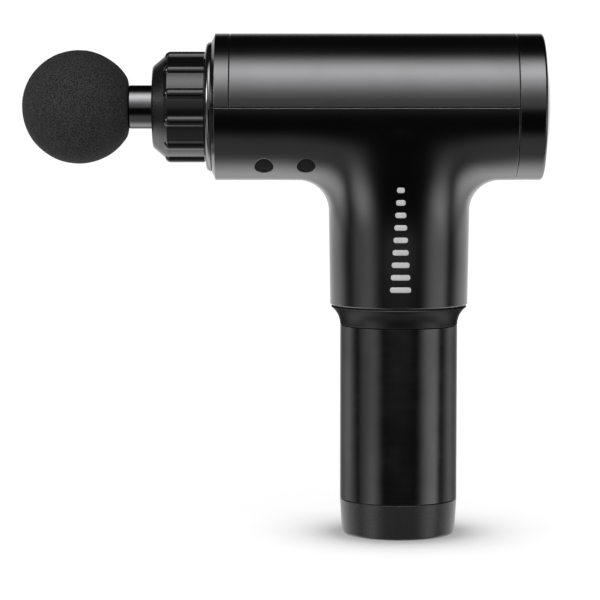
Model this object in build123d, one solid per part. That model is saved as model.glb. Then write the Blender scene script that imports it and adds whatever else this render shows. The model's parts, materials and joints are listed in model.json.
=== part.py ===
from build123d import *
import math
import os

# Massage gun with a screw-on battery handle, standing on its battery.
# Row frame, millimetres: the origin is the centre of the base, on the surface it stands on.
# +Z is up, +X points to the rear display, and the massage ball points to -X.
# Everything is drawn at rest: the plunger drawn in, the battery home, the switch off.

# ---------------------------------------------------------------- driving dimensions
HANDLE_R = 25.0  # battery handle
AXIS_Z = 182.5  # height of the barrel's axis
BARREL_R = 31.1
WALL = 2.4  # moulded casings
SEAM = 0.3  # bevel on the edges that meet at a seam
STROKE = 12.0  # of the plunger
ROD_LENGTH = 50.0  # between the connecting rod's two centres
MOTOR_X = 4.0  # the motor's upright axis
MOTOR_R = 22.0
CELL_R, CELL_LENGTH = 9.2, 65.0  # an 18650 cell in its sleeve
BATTERY_TRAVEL = 14.0  # how far the battery screws down before it is free
BATTERY_TURN = 150.0  # degrees that it turns on the way
HEAD_PLUG = 27.9  # length of the head's push-in plug
RUNNING_GAP = 0.05  # radial clearance of what turns or slides

# stations along the barrel, from front to rear
BALL_X, BALL_R = -136.2, 24.2
BALL_BACK_X = -114.9
PLUNGER_X, PLUNGER_R = -114.7, 9.2
COLLAR_X, COLLAR_END_X = -105.1, -82.6
BEZEL_X = -82.0
FRONT_X = -79.4
ARCH_END_X = -71.8
REAR_SEAM_X = 49.1
RING_END_X = 60.7
LENS_POLE_X = 63.8

# stations up the handle
CAP_TOP_Z = 15.2
TUBE_TOP_Z = 89.8
FLARE_TOP_Z = 97.95
SLEEVE_Z, SLEEVE_R = 98.5, 29.3
SLEEVE_WAIST_Z, SLEEVE_WAIST_R = 137.0, 29.9
NECK_TOP_Z = 112.3

# worked out from them
BARREL_BORE_R = BARREL_R - WALL
SLEEVE_BORE_R = SLEEVE_R - WALL
CRANK_R = STROKE / 2
PIN_X = MOTOR_X + CRANK_R  # the crank pin at rest, at its rear dead centre
WRIST_X = PIN_X - ROD_LENGTH
BLEND_R = 13.0  # where the sleeve runs into the barrel
NOSE_TUBE_R = 20.4
BUSH_R = 13.0
PLUG_BORE_R = 6.0

# heights inside the casing
PLATE_Z = (165.0, 168.0)  # the drive frame's plate
CRANK_Z = (171.0, 177.3)
ROD_Z = (178.6, 186.4)
MOTOR_Z = (133.0, 161.0)
LEDGE_Z = (118.0, 121.0)
BOARD_Z = (121.0, 122.6)
WEB_Z = (114.5, 116.5)

# the four cover screws, two a side, and the drive frame's four rubber mounts
COVER_SCREWS = [(x, side * 18.7) for x in (-57.3, -39.6) for side in (-1, 1)]
MOUNT_POINTS = [(x, side * 14.0) for x in (-28.0, 34.0) for side in (-1, 1)]

BARREL_AXIS = Axis((0, 0, AXIS_Z), (1, 0, 0))


# ---------------------------------------------------------------- drawing helpers
def outline(points, radii=None):
    """A closed outline through corner points, each corner rounded by its own radius."""
    if radii is None:
        return make_face(Polyline(*points, close=True))
    return make_face(FilletPolyline(*points, radius=radii, close=True))


def turned_on_barrel(points, radii=None):
    """A solid turned about the barrel's axis from (x, radius) corners."""
    return revolve(Plane.XZ * outline([(x, AXIS_Z + r) for x, r in points], radii), BARREL_AXIS)


def turned_on_handle(points, radii=None):
    """A solid turned about the handle's axis from (radius, z) corners."""
    return revolve(Plane.XZ * outline(points, radii), Axis.Z)


def upright(radius, z_low, z_high, x=0.0, y=0.0):
    """An upright rod."""
    return Pos(x, y, z_low) * extrude(Circle(radius), z_high - z_low)


def sleeve_of(outer, inner, z_low, z_high, x=0.0, y=0.0):
    """An upright tube."""
    return Pos(x, y, z_low) * extrude(Circle(outer) - Circle(inner), z_high - z_low)


def level(radius, x_low, x_high, y=0.0, z=AXIS_Z):
    """A rod that lies along the barrel."""
    return Pos(x_low, y, z) * Rot(0, 90, 0) * extrude(Circle(radius), x_high - x_low)


def block(x, y, z):
    """A box from its (low, high) pairs."""
    middle = Pos(*[(low + high) / 2 for low, high in (x, y, z)])
    return middle * Box(*[high - low for low, high in (x, y, z)])


def polar(radius, degrees):
    """The (x, y) of a point at an angle from +X."""
    turn = math.radians(degrees)
    return radius * math.cos(turn), radius * math.sin(turn)


def round_the_barrel(piece, degrees):
    """A piece turned about the barrel's axis."""
    return Pos(0, 0, AXIS_Z) * Rot(degrees, 0, 0) * Pos(0, 0, -AXIS_Z) * piece


def above_seam(piece):
    """The part of a piece above the level seam."""
    return piece & block((-200, 200), (-60, 60), (AXIS_Z, AXIS_Z + 60))


def below_seam(piece):
    """The part of a piece below the level seam."""
    return piece & block((-200, 200), (-60, 60), (0, AXIS_Z))


def in_a_group(pieces):
    """Separate solids that share one node."""
    return Compound(children=[solid for piece in pieces for solid in piece.solids()])


def wire_along(points, radius, bend):
    """A round wire along straight runs with rounded corners."""
    path = FilletPolyline(*points, radius=bend)
    start = Plane(origin=path @ 0, z_dir=path % 0)
    return sweep(start * Circle(radius), path=path)


# ---------------------------------------------------------------- casing
def barrel_shell():
    """The whole barrel with its front wall, before it is split along the seams."""
    return turned_on_barrel(
        [
            (FRONT_X, NOSE_TUBE_R + 0.2),
            (FRONT_X, BARREL_R - 3.0),
            (FRONT_X + 1.4, BARREL_R),
            (REAR_SEAM_X - SEAM, BARREL_R),
            (REAR_SEAM_X, BARREL_R - SEAM),
            (REAR_SEAM_X, BARREL_BORE_R),
            (FRONT_X + WALL, BARREL_BORE_R),
            (FRONT_X + WALL, NOSE_TUBE_R + 0.2),
        ]
    )


def seam_edges(piece, *, at_x=None):
    """The outer edges that lie on the level seam, and those on an upright seam at a given x."""
    found = []
    for edge in piece.edges():
        box = edge.bounding_box()
        on_level_seam = box.max.Z - box.min.Z < 1e-3 and abs(box.min.Z - AXIS_Z) < 1e-3
        outside = max(abs(box.min.Y), abs(box.max.Y)) > BARREL_R - 0.01
        on_upright_seam = at_x is not None and abs(box.min.X - at_x) + abs(box.max.X - at_x) < 1e-3
        if outside and (on_level_seam or on_upright_seam) and edge.length > 5:
            found.append(edge)
    return found


def screw_boss(x, y, z_low, z_high, radius):
    """A boss that grows out of the barrel's wall."""
    return upright(radius, z_low, z_high, x, y) & level(BARREL_BORE_R + 1.0, -100, 100)


def make_main_body():
    barrel = turned_on_barrel(
        [
            (FRONT_X, 0),
            (FRONT_X, BARREL_R - 3.0),
            (FRONT_X + 1.4, BARREL_R),
            (REAR_SEAM_X - SEAM, BARREL_R),
            (REAR_SEAM_X, BARREL_R - SEAM),
            (REAR_SEAM_X, 0),
        ]
    )
    sleeve = turned_on_handle(
        [
            (0, SLEEVE_Z),
            (SLEEVE_R - 0.4, SLEEVE_Z),
            (SLEEVE_R, SLEEVE_Z + 0.4),
            (SLEEVE_WAIST_R, SLEEVE_WAIST_Z),
            (SLEEVE_WAIST_R, AXIS_Z),
            (0, AXIS_Z),
        ]
    )
    whole = barrel + sleeve
    weld = [edge for edge in whole.edges() if edge.geom_type == GeomType.BSPLINE]
    whole = below_seam(fillet(weld, BLEND_R))
    whole = chamfer(seam_edges(whole), SEAM)
    # hollow it: the barrel's bore, the sleeve's bore and the hole for the nose
    whole -= level(BARREL_BORE_R, FRONT_X + WALL, REAR_SEAM_X + 1)
    whole -= level(NOSE_TUBE_R + 0.2, FRONT_X - 1, FRONT_X + WALL + 1)
    whole -= upright(SLEEVE_BORE_R, SLEEVE_Z - 1, AXIS_Z)
    whole += sleeve_of(SLEEVE_BORE_R + 0.5, 23.6, *LEDGE_Z)
    for x, y in COVER_SCREWS:
        whole += screw_boss(x, y, 140, AXIS_Z, 4.9)
        whole -= upright(4.0, 140, 168.0, x, y)
        whole -= upright(1.7, 160, AXIS_Z + 1, x, y)
    for x, y in MOUNT_POINTS:
        whole += screw_boss(x, y, 145, 161.5, 3.6)
        whole -= upright(1.2, 157.5, 162, x, y)
    for turn in (90, 210, 330):
        whole -= upright(1.0, LEDGE_Z[0] - 1, LEDGE_Z[1] - 0.6, *polar(24.7, turn))
    return whole


def make_front_arch():
    arch = above_seam(barrel_shell()) & block((-90, ARCH_END_X), (-40, 40), (150, 230))
    return chamfer(seam_edges(arch, at_x=ARCH_END_X), SEAM)


def make_top_cover():
    cover = above_seam(barrel_shell()) & block((ARCH_END_X, 60), (-40, 40), (150, 230))
    cover = chamfer(seam_edges(cover, at_x=ARCH_END_X), SEAM)
    for x, y in COVER_SCREWS:
        cover += screw_boss(x, y, AXIS_Z, 215, 4.2)
        cover -= upright(1.25, AXIS_Z - 1, 198.5, x, y)
    return cover


def make_cover_screws():
    """Screws that pull the top cover down on to the main body."""
    screws = []
    for x, y in COVER_SCREWS:
        head = upright(2.9, 165.6, 168.0, x, y) - Pos(x, y, 165.6) * Box(3.6, 0.8, 2.0)
        screws.append(head + upright(1.25, 167.0, 197.0, x, y))
    return in_a_group(screws)


def make_screw_plugs():
    """Rubber plugs that close the screw holes, finished to the barrel's curve."""
    near_surface = level(BARREL_R - 0.35, -100, 100)
    return in_a_group([upright(3.95, 140, 163.5, x, y) & near_surface for x, y in COVER_SCREWS])


# ---------------------------------------------------------------- rear display
def make_rear_ring():
    return turned_on_barrel(
        [
            (REAR_SEAM_X, BARREL_R - SEAM),
            (REAR_SEAM_X + SEAM, BARREL_R),
            (RING_END_X, BARREL_R),
            (RING_END_X, 27.5),
            (58.7, 27.5),
            (58.7, 25.8),
            (57.2, 25.8),
            (57.2, 27.0),
            (46.5, 27.0),
            (46.5, BARREL_BORE_R - 0.1),
            (REAR_SEAM_X, BARREL_BORE_R - 0.1),
        ],
        [0, 0, 1.3, 0.3, 0, 0, 0, 0, 0, 0, 0],
    )


def make_touch_lens():
    """A domed tinted lens: touching it turns the gun on and sets its speed."""
    rim_r, rim_x, back_x, thickness = 27.4, 60.5, 58.75, 1.9
    rise = LENS_POLE_X - rim_x
    dome_r = (rim_r**2 + rise**2) / (2 * rise)
    centre = Pos(LENS_POLE_X - dome_r, 0, AXIS_Z)
    dome = centre * (Sphere(dome_r) - Sphere(dome_r - thickness))
    return dome & level(rim_r, back_x, LENS_POLE_X + 1)


def make_display_module():
    """A light-guide block with windows for two digits and a row of level lamps."""
    module = level(25.2, 53.6, 57.1)
    for y in (-6.5, 6.5):
        module -= block((55.6, 58), (y - 4.2, y + 4.2), (AXIS_Z - 4, AXIS_Z + 12))
    for index in range(5):
        y = 6.0 * (index - 2)
        module -= Pos(55.6, y, AXIS_Z - 12) * Rot(0, 90, 0) * extrude(Circle(1.6), 3)
    return module


def make_display_board():
    board = level(25.2, 52.0, 53.6)
    chip = block((50.4, 52.0), (-4, 4), (AXIS_Z - 6, AXIS_Z + 2))
    plug = block((49.0, 52.0), (6, 14), (AXIS_Z + 11.5, AXIS_Z + 17.5))
    return board + chip + plug


def make_display_cable():
    """Lead from the display board, along the top of the barrel and down past the motor."""
    route = [
        (48.9, 10, 197.0),
        (36, 11, 198.5),
        (20, 15, 198.0),
        (4, 19.5, 195.5),
        (-9, 21, 188.0),
        (-14, 20.6, 174.0),
        (-14.6, 20.2, 157.0),
        (-14, 20.6, 140.0),
        (-13.5, 18.6, 125.9),
    ]
    return wire_along(route, 1.1, 6.0)


# ---------------------------------------------------------------- nose
def make_nose_plate():
    """Flanged tube that carries the plunger's guide, clamped behind the front wall."""
    plate = turned_on_barrel(
        [
            (-76.9, BARREL_BORE_R - 0.3),
            (-73.9, BARREL_BORE_R - 0.3),
            (-73.9, BUSH_R),
            (-101.3, BUSH_R),
            (-101.3, BUSH_R + 1.8),
            (-79.0, BUSH_R + 1.8),
            (-79.0, NOSE_TUBE_R - 2.0),
            (-98.2, NOSE_TUBE_R - 2.0),
            (-96.4, NOSE_TUBE_R),
            (-76.9, NOSE_TUBE_R),
        ]
    )
    for turn in range(0, 360, 60):
        rib = block((-96.8, -78.5), (-0.9, 0.9), (AXIS_Z + BUSH_R + 1.0, AXIS_Z + NOSE_TUBE_R - 1.0))
        plate += round_the_barrel(rib, turn)
    for turn in (45, 135, 225, 315):
        plate -= round_the_barrel(level(1.25, -80, -73, z=AXIS_Z + 21.5), turn)
    return plate


def make_nose_screws():
    """Screws from the drive frame's upright into the nose plate."""
    screws = []
    for turn in (45, 135, 225, 315):
        screw = level(1.25, -76.5, -68.8, z=AXIS_Z + 21.5) + level(2.4, -68.8, -67.0, z=AXIS_Z + 21.5)
        screws.append(round_the_barrel(screw, turn))
    return in_a_group(screws)


def make_nose_bezel():
    return turned_on_barrel(
        [
            (BEZEL_X, NOSE_TUBE_R),
            (BEZEL_X, 27.3),
            (-79.9, 27.5),
            (FRONT_X, 27.2),
            (FRONT_X, NOSE_TUBE_R),
        ],
        [0, 2.0, 0.2, 0, 0],
    )


def make_nose_collar():
    """Ribbed nose cap: a round wall with twelve rounded ribs, and a coned front."""
    land_r, rib_top, rib_r, ribs = 22.7, 24.1, 2.55, 12
    cone_end = -98.0
    blank = level(land_r, cone_end, COLLAR_END_X)
    nose = turned_on_barrel(
        [
            (COLLAR_X, 0),
            (COLLAR_X, 9.8),
            (-104.5, 17.0),
            (-103.9, 17.7),
            (cone_end, land_r),
            (cone_end, 0),
        ],
        [0, 0.4, 0.4, 0.5, 0, 0],
    )
    collar = blank + nose
    for index in range(ribs):
        crest = AXIS_Z + rib_top - rib_r
        rib = level(rib_r, cone_end + 1.2, COLLAR_END_X, z=crest)
        rib += Pos(cone_end + 1.2, 0, crest) * Sphere(rib_r)
        collar += round_the_barrel(rib, 15 + index * 360 / ribs)
    inside = turned_on_barrel(
        [
            (COLLAR_END_X + 1, 0),
            (COLLAR_END_X + 1, NOSE_TUBE_R),
            (-96.4, NOSE_TUBE_R),
            (-101.3, 15.6),
            (-101.3, 11.5),
            (-104.6, 11.5),
            (-104.6, 9.7),
            (-106, 9.7),
            (-106, 0),
        ]
    )
    return collar - inside


def make_plunger_wiper():
    """Lip seal that wipes the plunger as it goes in."""
    return turned_on_barrel(
        [
            (-104.6, 11.5),
            (-104.6, PLUNGER_R + 0.3),
            (-103.6, PLUNGER_R + RUNNING_GAP),
            (-102.6, PLUNGER_R + RUNNING_GAP),
            (-102.0, PLUNGER_R + 0.6),
            (-102.0, 11.5),
        ]
    )


def make_guide_bush():
    """Long plain bearing that the plunger slides in, with oil grooves."""
    bush = level(BUSH_R, -101.3, -73.9) - level(PLUNGER_R + RUNNING_GAP, -102, -73)
    for x in (-95.0, -88.0, -81.0):
        bush -= level(PLUNGER_R + 0.8, x - 1, x + 1)
    return bush


# ---------------------------------------------------------------- drive frame and motor
def make_drive_frame():
    """Cast plate that hangs the motor under it and holds the nose on its upright."""
    low, high = PLATE_Z
    outer = [(-30, -19), (40, -19), (40, 19), (-30, 19), (-36, 12), (-71, 12), (-71, -12), (-36, -12)]
    plate = Pos(0, 0, low) * extrude(outline(outer, [3, 3, 3, 3, 0, 0, 0, 0]), high - low)
    wall = level(23.8, -73.9, -69.4) & block((-80, 0), (-30, 30), (low - 4, 230))
    frame = plate + wall
    for side in (-1, 1):
        frame += block((-70, -24), (side * 10.5 - 1.5, side * 10.5 + 1.5), (low - 5, low + 1))
        frame += block((-26, 36), (side * 17.8 - 1.2, side * 17.8 + 1.2), (high - 1, high + 2.2))
    frame -= level(BUSH_R, -80, -60)
    frame -= upright(8.05, low - 1, high + 1, MOTOR_X)
    for turn in (45, 135, 225, 315):
        x, y = polar(12.5, turn)
        frame -= upright(1.6, low - 1, high + 1, MOTOR_X + x, y)
        frame -= round_the_barrel(level(1.4, -80, -60, z=AXIS_Z + 21.5), turn)
    for x, y in MOUNT_POINTS:
        frame -= upright(3.3, low - 6, high + 1, x, y)
        frame -= upright(4.4, low - 6, low, x, y)
        frame -= upright(4.4, high, high + 4, x, y)
    for x in (-60, -46):
        frame -= upright(5.0, low - 1, high + 1, x, 0)
    return frame


def make_frame_dampers():
    """Rubber grommets that carry the drive frame, so less of the beat reaches the hand."""
    spool = turned_on_handle(
        [
            (1.6, 161.5),
            (4.2, 161.5),
            (4.2, PLATE_Z[0]),
            (3.3, PLATE_Z[0]),
            (3.3, PLATE_Z[1]),
            (4.2, PLATE_Z[1]),
            (4.2, 169.6),
            (1.6, 169.6),
        ]
    )
    return in_a_group([Pos(x, y, 0) * spool for x, y in MOUNT_POINTS])


def pan_screw(x, y, head_r, head_z, shank_r, shank_tip_z):
    """A screw driven down, its head standing on head_z[0], with a cross recess."""
    screw = upright(head_r, *head_z, x, y) + upright(shank_r, shank_tip_z, head_z[1] - 0.5, x, y)
    for size in ((head_r, 0.6), (0.6, head_r)):
        screw -= Pos(x, y, head_z[1]) * Box(*size, 1.2)
    return screw


def make_frame_screws():
    return in_a_group([pan_screw(x, y, 2.9, (169.6, 171.8), 1.2, 157.7) for x, y in MOUNT_POINTS])


def make_motor_case():
    """Motor can, closed below with a seat for the lower bearing and three wire holes."""
    low, high = MOTOR_Z
    inner_r = MOTOR_R - 1.4
    can = Pos(MOTOR_X, 0, 0) * turned_on_handle(
        [
            (0, low),
            (MOTOR_R, low),
            (MOTOR_R, high),
            (inner_r, high),
            (inner_r, low + 1.6),
            (8.2, low + 1.6),
            (8.2, low + 5.4),
            (6.5, low + 5.4),
            (6.5, low + 1.4),
            (0, low + 1.4),
        ],
        [0, 1.2, 0, 0, 0, 0, 0, 0, 0, 0],
    )
    for y in (-5, 0, 5):
        can -= upright(1.1, low - 1, low + 3, MOTOR_X - 14, y)
    return can


def make_motor_front_bell():
    """Upper end of the motor: bearing seat, pilot boss and the tapped holes that hold it."""
    low, high = MOTOR_Z[1], PLATE_Z[0]
    bell = Pos(MOTOR_X, 0, 0) * turned_on_handle(
        [
            (6.5, low - 2),
            (8.2, low - 2),
            (8.2, low),
            (MOTOR_R, low),
            (MOTOR_R, high),
            (8.0, high),
            (8.0, high + 2),
            (3.5, high + 2),
            (3.5, low + 2.0),
            (6.5, low + 2.0),
        ],
        [0, 0, 0, 0, 0.8, 0, 0, 0, 0, 0],
    )
    for turn in (45, 135, 225, 315):
        x, y = polar(12.5, turn)
        bell -= upright(1.45, low - 1, high + 1, MOTOR_X + x, y)
    return bell


def ball_race(outer, bore, z_low, z_high, x):
    """A shielded bearing: two rings and a sunk shield between them, as one piece."""
    shield_outer, shield_inner = outer - 1.2, bore + 1.2
    bearing = sleeve_of(outer, bore, z_low, z_high, x)
    for z in (z_low, z_high - 0.3):
        bearing -= sleeve_of(shield_outer, shield_inner, z, z + 0.3, x)
    return bearing


def make_motor_bearings():
    low, high = MOTOR_Z
    lower = ball_race(6.5, 2.5, low + 1.4, low + 5.4, MOTOR_X)
    upper = ball_race(6.5, 2.5, high - 2.0, high + 2.0, MOTOR_X)
    return in_a_group([lower, upper])


def make_motor_screws():
    screws = []
    for turn in (45, 135, 225, 315):
        x, y = polar(12.5, turn)
        screws.append(pan_screw(MOTOR_X + x, y, 2.7, (PLATE_Z[1], 169.8), 1.45, MOTOR_Z[1] + 0.5))
    return in_a_group(screws)


TEETH, TOOTH_WIDTH = 9, 4.0
STACK_Z = (143.0, 155.0)


def make_stator_core():
    """Laminated ring with nine teeth that point at the rotor."""
    ring = Circle(MOTOR_R - 1.4) - Circle(17.0)
    for index in range(TEETH):
        ring += Rot(0, 0, index * 360 / TEETH) * Pos(14.9, 0) * Rectangle(5.2, TOOTH_WIDTH)
    return Pos(MOTOR_X, 0, STACK_Z[0]) * extrude(ring, STACK_Z[1] - STACK_Z[0])


def make_stator_coils():
    """One winding round each tooth."""
    low, high = STACK_Z
    coil = block((13.0, 16.3), (-4.1, 4.1), (low - 2.2, high + 2.2))
    coil = fillet(coil.edges().filter_by(Axis.X), 1.6)
    coil -= block((12, 18), (-TOOTH_WIDTH / 2, TOOTH_WIDTH / 2), (low, high))
    coils = [Pos(MOTOR_X, 0, 0) * Rot(0, 0, index * 360 / TEETH) * coil for index in range(TEETH)]
    return in_a_group(coils)


def make_motor_wires():
    """Three phase leads from the motor down to the control board."""
    start_z, x = MOTOR_Z[0] + 2.5, MOTOR_X - 14
    route = [(x, 0, start_z), (x, 0, 130.0), (x - 3.5, 0, 127.5), (x - 3.5, 0, BOARD_Z[1] + 2.0)]
    lead = wire_along(route, 0.9, 2.0)
    return in_a_group([Pos(0, y, 0) * lead for y in (-5, 0, 5)])


def make_motor_shaft():
    return upright(2.5 - RUNNING_GAP, MOTOR_Z[0] + 1.6, CRANK_Z[1], MOTOR_X)


def make_rotor_core():
    core = sleeve_of(9.6, 2.5 - RUNNING_GAP, *STACK_Z, MOTOR_X)
    for index in range(6):
        x, y = polar(6.2, index * 60)
        core -= upright(1.4, STACK_Z[0] - 1, STACK_Z[1] + 1, MOTOR_X + x, y)
    return core


def make_rotor_magnets():
    """Six curved magnets on the rotor's core."""
    magnets = []
    for index in range(6):
        inner, outer, half = 9.6, 11.8, 27.0
        corners = [polar(inner, -half), polar(inner, 0), polar(inner, half)]
        crown = [polar(outer, half), polar(outer, 0), polar(outer, -half)]
        edges = [ThreePointArc(*corners), Line(corners[2], crown[0])]
        edges += [ThreePointArc(*crown), Line(crown[2], corners[0])]
        magnet = extrude(make_face(edges), STACK_Z[1] - STACK_Z[0])
        magnets.append(Pos(MOTOR_X, 0, STACK_Z[0]) * Rot(0, 0, index * 60) * magnet)
    return in_a_group(magnets)


# ---------------------------------------------------------------- crank, rod and plunger
def make_crank_disc():
    """Crank with its counterweight on the side away from the pin."""
    low, high = CRANK_Z
    disc = upright(12.0, low, high, MOTOR_X)
    weight = upright(17.0, low, high, MOTOR_X) & block((-60, MOTOR_X - 2), (-30, 30), (low, high))
    crank = disc + weight
    return crank - upright(2.5 - RUNNING_GAP, low - 1, high + 1, MOTOR_X)


def make_crank_pin():
    """Pin through the big end; it stops just above its seat on the crank."""
    return upright(3.0, CRANK_Z[1] + 0.2, ROD_Z[1] + 1.2, PIN_X) + upright(
        4.2, ROD_Z[1] + 0.2, ROD_Z[1] + 1.2, PIN_X
    )


def make_big_end_bearing():
    return ball_race(7.5, 3.0, 180.0, 185.0, PIN_X)


def make_connecting_rod():
    low, high = ROD_Z
    big_end = upright(10.2, low, high, PIN_X)
    small_end = upright(6.0, low, high, WRIST_X)
    shank = block((WRIST_X, PIN_X), (-4.2, 4.2), (low, high))
    rod = big_end + small_end + shank
    pocket = block((WRIST_X + 9, PIN_X - 13), (-2.6, 2.6), (0, 2.2))
    pocket = fillet(pocket.edges().filter_by(Axis.Z), 2.0)
    rod -= Pos(0, 0, high - 2.2) * pocket
    rod -= Pos(0, 0, low) * pocket
    rod -= upright(7.5, 180.0, 185.0, PIN_X)
    rod -= upright(6.3, low - 1, high + 1, PIN_X)
    rod -= upright(3.6, low - 1, high + 1, WRIST_X)
    return rod


def make_small_end_bush():
    return sleeve_of(3.6, 2.5 + RUNNING_GAP, *ROD_Z, WRIST_X)


def make_plunger():
    """Turned tube: a socket for the head in front and a fork for the rod behind."""
    rear_x = WRIST_X + 7.0
    plunger = turned_on_barrel(
        [(PLUNGER_X, 0), (PLUNGER_X, PLUNGER_R), (rear_x, PLUNGER_R), (rear_x, 0)],
        [0, 0.5, 0.8, 0],
    )
    plunger -= turned_on_barrel(
        [
            (PLUNGER_X - 1, 0),
            (PLUNGER_X - 1, PLUG_BORE_R + 1.4),
            (PLUNGER_X + 0.4, PLUG_BORE_R),
            (PLUNGER_X + HEAD_PLUG + 1.5, PLUG_BORE_R),
            (PLUNGER_X + HEAD_PLUG + 1.5, 4.0),
            (PLUNGER_X + HEAD_PLUG + 4.5, 4.0),
            (PLUNGER_X + HEAD_PLUG + 4.5, 7.0),
            (WRIST_X - 13, 7.0),
            (WRIST_X - 10, 4.0),
            (WRIST_X - 10, 0),
        ]
    )
    plunger -= block((WRIST_X - 7.4, rear_x + 1), (-12, 12), (ROD_Z[0] - 0.4, ROD_Z[1] + 0.4))
    return plunger - upright(2.5, 170, 195, WRIST_X)


def make_wrist_pin():
    return upright(2.5, 174.0, 191.0, WRIST_X)


# ---------------------------------------------------------------- massage head
STEM_R = PLUG_BORE_R - RUNNING_GAP
RING_GROOVES = (-110.0, -94.0)  # the O-rings' places along the plug


def make_head_stem():
    """Push-in plug with a barbed root moulded into the ball."""
    stem = turned_on_barrel(
        [
            (-146.0, 0),
            (-146.0, 7.0),
            (-143.0, 9.0),
            (-139.5, 9.0),
            (-139.5, 5.0),
            (-132.5, 5.0),
            (-132.5, 9.0),
            (-129.0, 9.0),
            (-129.0, STEM_R),
            (PLUNGER_X + HEAD_PLUG - 1.0, STEM_R),
            (PLUNGER_X + HEAD_PLUG, STEM_R - 1.0),
            (PLUNGER_X + HEAD_PLUG, 0),
        ]
    )
    for x in RING_GROOVES:
        stem -= turned_on_barrel([(x - 0.8, 4.6), (x + 0.8, 4.6), (x + 0.8, 7), (x - 0.8, 7)])
    return stem - level(3.2, -140.0, PLUNGER_X + HEAD_PLUG + 1)


def make_stem_o_rings():
    """Two O-rings whose grip holds the head in the plunger."""
    ring_r = 0.68
    rings = []
    for x in RING_GROOVES:
        rings.append(Pos(x, 0, AXIS_Z) * Rot(0, 90, 0) * Torus(4.6 + ring_r, ring_r))
    return in_a_group(rings)


def make_massage_ball():
    """Foam ball with a flat back, moulded round the stem's root."""
    ball = Pos(BALL_X, 0, AXIS_Z) * Sphere(BALL_R)
    ball &= block((-200, BALL_BACK_X), (-60, 60), (100, 260))
    return ball - make_head_stem() - level(3.2, -140.0, BALL_BACK_X + 1)


# ---------------------------------------------------------------- handle electronics
def make_control_board():
    """Motor driver on the ledge inside the sleeve."""
    low, high = BOARD_Z
    board = upright(26.4, low, high)
    for index in range(6):
        y = -12.5 + 5.0 * index
        board += block((12, 18), (y - 1.9, y + 1.9), (high, high + 1.6))
    for y in (-8.5, 8.5):
        board += upright(3.9, high, high + 8.0, 4.0, y)
    board += block((-16, -11), (-7.5, 7.5), (high, high + 2.0))
    board += block((-16.5, -10.5), (15.5, 20.5), (high, high + 3.0))
    board += block((-4, 4), (-4, 4), (high, high + 1.2))
    return board


def make_contact_board():
    """Round board that carries the battery contacts, plugged up into the control board."""
    low = WEB_Z[1]
    board = upright(21.0, low, low + 1.4)
    return board + block((-8, 8), (14, 18), (low + 1.4, BOARD_Z[0]))


PIN_POINTS = [(5.0, 0), (5.0, 180), (9.0, 60), (9.0, 240), (13.0, 120), (13.0, 300)]


def make_pin_barrels():
    """Barrels of the spring contacts."""
    barrels = []
    for radius, turn in PIN_POINTS:
        barrels.append(sleeve_of(1.3, 0.8, 113.8, WEB_Z[1], *polar(radius, turn)))
    return in_a_group(barrels)


def make_contact_pins():
    """Spring-loaded plungers that press on the battery's contact rings."""
    pins = []
    for radius, turn in PIN_POINTS:
        x, y = polar(radius, turn)
        pins.append(upright(0.72, NECK_TOP_Z + 0.65, 116.3, x, y) + Pos(x, y, NECK_TOP_Z + 0.65) * Sphere(0.3))
    return in_a_group(pins)


LUG_Z, LUG_R = 102.2, 2.0
LUG_TURNS = (0, 120, 240)
SOCKET_SCREW_TURNS = (90, 210, 330)


def make_battery_socket():
    """Receiver ring: three lugs for the battery's grooves and a web for the contacts."""
    outer, inner = SLEEVE_BORE_R - 0.1, 22.5
    socket = sleeve_of(outer, inner, SLEEVE_Z + 0.2, LEDGE_Z[0])
    socket += sleeve_of(inner + 1, 16.0, *WEB_Z)
    for turn in LUG_TURNS:
        socket += Rot(0, 0, turn) * level(LUG_R, 20.2, inner + 1, z=LUG_Z)
    for turn in SOCKET_SCREW_TURNS:
        x, y = polar(24.7, turn)
        socket -= upright(1.9, SLEEVE_Z, 101.2, x, y)
        socket -= upright(1.1, SLEEVE_Z, LEDGE_Z[0] + 1, x, y)
    return socket


def make_socket_screws():
    screws = []
    for turn in SOCKET_SCREW_TURNS:
        x, y = polar(24.7, turn)
        screw = upright(1.85, 99.4, 101.2, x, y) + upright(1.0, 101.0, 120.3, x, y)
        screws.append(screw - Pos(x, y, 99.4) * Box(2.4, 0.6, 1.2))
    return in_a_group(screws)


# ---------------------------------------------------------------- battery handle
NECK_R, NECK_BORE_R, GROOVE_FLOOR_R = 22.2, 18.2, 19.9
GROOVE_START_Z = LUG_Z - LUG_R - 0.3
TURN_PER_MM = BATTERY_TURN / BATTERY_TRAVEL


def make_battery_gasket():
    """Flat seal between the battery and the sleeve; it stays on the neck."""
    return sleeve_of(28.6, NECK_R + 0.3, FLARE_TOP_Z + 0.05, SLEEVE_Z - 0.05)


def groove_notch(middle):
    """The space one lug needs in the neck's cross-section, round an angle in degrees."""
    slope = math.atan(1 / (math.radians(TURN_PER_MM) * NECK_R))
    half = math.degrees((LUG_R + 0.35) / math.sin(slope) / NECK_R)
    inner = [polar(GROOVE_FLOOR_R, middle + half * k) for k in (-1, 0, 1)]
    outer = [polar(NECK_R + 1, middle + half * k) for k in (1, 0, -1)]
    sides = [Line(inner[2], outer[0]), Line(outer[2], inner[0])]
    return make_face([ThreePointArc(*inner), ThreePointArc(*outer), *sides])


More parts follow.
